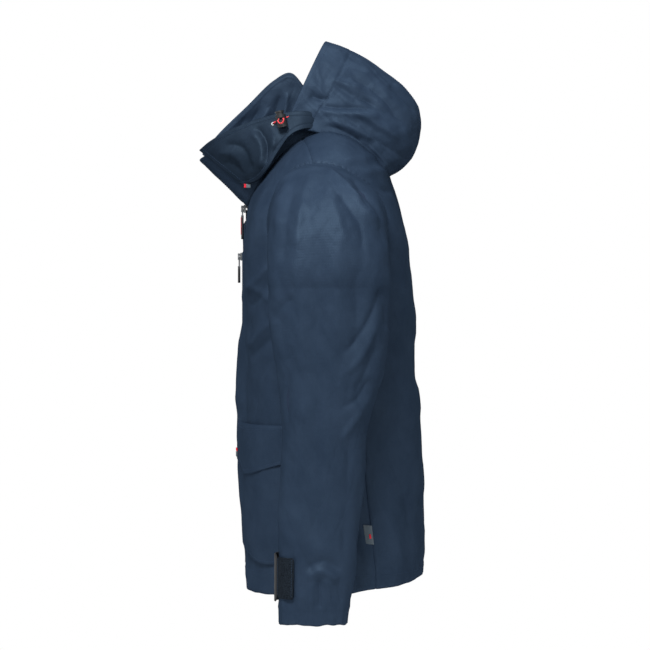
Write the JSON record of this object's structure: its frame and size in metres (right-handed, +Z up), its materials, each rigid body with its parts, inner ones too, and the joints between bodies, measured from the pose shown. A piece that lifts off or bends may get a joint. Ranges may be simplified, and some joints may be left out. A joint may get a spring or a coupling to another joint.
{
  "type": "foul weather jacket",
  "caption": "Hooded sailing jacket zipped shut, with its collar open, hood thrown back, hanging sleeves, flap pockets, cuff tabs and cord locks.",
  "frame": {"origin": "middle of the neck, level with the back of the neckline", "axes": "+X the wearer's left, -Y the front, +Z up"},
  "size_m": [0.6836, 0.3486, 0.8676],
  "materials": {
    "shell_cloth": "coated woven polyester, matt, slight sheen",
    "dark_cloth": "coated woven polyester in shade, matt",
    "lining_cloth": "smooth woven lining",
    "zip_tape": "ribbed woven tape",
    "black_plastic": "moulded, fine texture",
    "grey_metal": "satin plated",
    "hook_and_loop": "brushed loop pile",
    "red_cord": "braided cord and woven binding",
    "label_cloth": "woven label"
  },
  "bodies": {
    "jacket": {"left_front_panel": "shell_cloth", "right_front_panel": "shell_cloth", "back_panel": "shell_cloth", "torso_lining": "lining_cloth", "collar": "shell_cloth", "left_collar_zip_tape": "zip_tape", "right_collar_zip_tape": "zip_tape", "hood_base": "dark_cloth", "left_hood_wing": "dark_cloth", "right_hood_wing": "shell_cloth", "left_pocket_bag": "shell_cloth", "right_pocket_bag": "shell_cloth", "left_zip_tape": "zip_tape", "right_zip_tape": "zip_tape", "zip_bottom_box": "black_plastic", "inner_storm_flap": "lining_cloth", "chest_zip_tape": "zip_tape", "chest_zip_garage": "shell_cloth", "left_front_eyelet": "grey_metal", "right_front_eyelet": "grey_metal", "left_rear_eyelet": "grey_metal", "right_rear_eyelet": "grey_metal", "left_hood_cord": "red_cord", "right_hood_cord": "red_cord", "left_cordlock_barrel": "black_plastic", "right_cordlock_barrel": "black_plastic", "left_cordlock_spring": "grey_metal", "right_cordlock_spring": "grey_metal", "hanger_loop": "zip_tape", "side_label": "label_cloth"},
    "hood": {"hood_centre_panel": "shell_cloth", "left_hood_side_panel": "shell_cloth", "right_hood_side_panel": "shell_cloth", "hood_edge_binding": "red_cord"},
    "zip_slider": {"zip_slider": "grey_metal"},
    "zip_puller": {"zip_puller": "black_plastic"},
    "chest_zip_slider": {"chest_zip_slider": "grey_metal"},
    "chest_zip_puller": {"chest_zip_puller": "black_plastic"},
    "left_sleeve": {"left_sleeve": "shell_cloth", "left_sleeve_lining": "lining_cloth", "left_cuff_loop_patch": "hook_and_loop"},
    "left_cuff_tab": {"left_cuff_tab": "black_plastic"},
    "left_pocket_flap": {"left_pocket_flap": "shell_cloth"},
    "left_cordlock_button": {"left_cordlock_button": "black_plastic"},
    "right_sleeve": {"right_sleeve": "shell_cloth", "right_sleeve_lining": "lining_cloth", "right_cuff_loop_patch": "hook_and_loop"},
    "right_cuff_tab": {"right_cuff_tab": "black_plastic"},
    "right_pocket_flap": {"right_pocket_flap": "shell_cloth"},
    "right_cordlock_button": {"right_cordlock_button": "black_plastic"}
  },
  "joints": [
    {"name": "hood_tilt", "type": "hinge", "parent": "jacket", "child": "hood", "pos_m": [0, -0.048, 0.02], "axis": [1, 0, 0], "range_deg": [0, 50]},
    {"name": "zip_slide", "type": "slide", "parent": "jacket", "child": "zip_slider", "axis": [0, 0, -1], "range_m": [0, 0.52]},
    {"name": "zip_puller_swing", "type": "hinge", "parent": "zip_slider", "child": "zip_puller", "pos_m": [0, -0.1232, -0.122], "axis": [-1, 0, 0], "range_deg": [0, 150]},
    {"name": "chest_zip_slide", "type": "slide", "parent": "jacket", "child": "chest_zip_slider", "axis": [0, 0, -1], "range_m": [0, 0.096]},
    {"name": "chest_puller_swing", "type": "hinge", "parent": "chest_zip_slider", "child": "chest_zip_puller", "pos_m": [-0.04, -0.1296, -0.195], "axis": [-1, 0, 0], "range_deg": [0, 150]},
    {"name": "left_sleeve_swing", "type": "hinge", "parent": "jacket", "child": "left_sleeve", "pos_m": [0.226, 0.008, -0.153], "axis": [-1, 0, 0], "range_deg": [-25, 60]},
    {"name": "left_cuff_tab_peel", "type": "hinge", "parent": "left_sleeve", "child": "left_cuff_tab", "pos_m": [0.234, -0.038, -0.666], "axis": [0, 0, -1], "range_deg": [0, 70]},
    {"name": "left_pocket_flap_lift", "type": "hinge", "parent": "jacket", "child": "left_pocket_flap", "pos_m": [0.15, -0.116, -0.451], "axis": [-0.8821, -0.4711, 0], "range_deg": [0, 140]},
    {"name": "left_cordlock_press", "type": "slide", "parent": "jacket", "child": "left_cordlock_button", "axis": [0, 0.2079, -0.9781], "range_m": [0, 0.0022], "stiffness_N_per_m": 900, "springref_m": -0.004},
    {"name": "right_sleeve_swing", "type": "hinge", "parent": "jacket", "child": "right_sleeve", "pos_m": [-0.226, 0.008, -0.153], "axis": [-1, 0, 0], "range_deg": [-25, 60]},
    {"name": "right_cuff_tab_peel", "type": "hinge", "parent": "right_sleeve", "child": "right_cuff_tab", "pos_m": [-0.234, -0.038, -0.666], "axis": [0, 0, 1], "range_deg": [0, 70]},
    {"name": "right_pocket_flap_lift", "type": "hinge", "parent": "jacket", "child": "right_pocket_flap", "pos_m": [-0.15, -0.116, -0.451], "axis": [-0.8821, 0.4711, 0], "range_deg": [0, 140]},
    {"name": "right_cordlock_press", "type": "slide", "parent": "jacket", "child": "right_cordlock_button", "axis": [0, 0.2079, -0.9781], "range_m": [0, 0.0022], "stiffness_N_per_m": 900, "springref_m": -0.004}
  ]
}
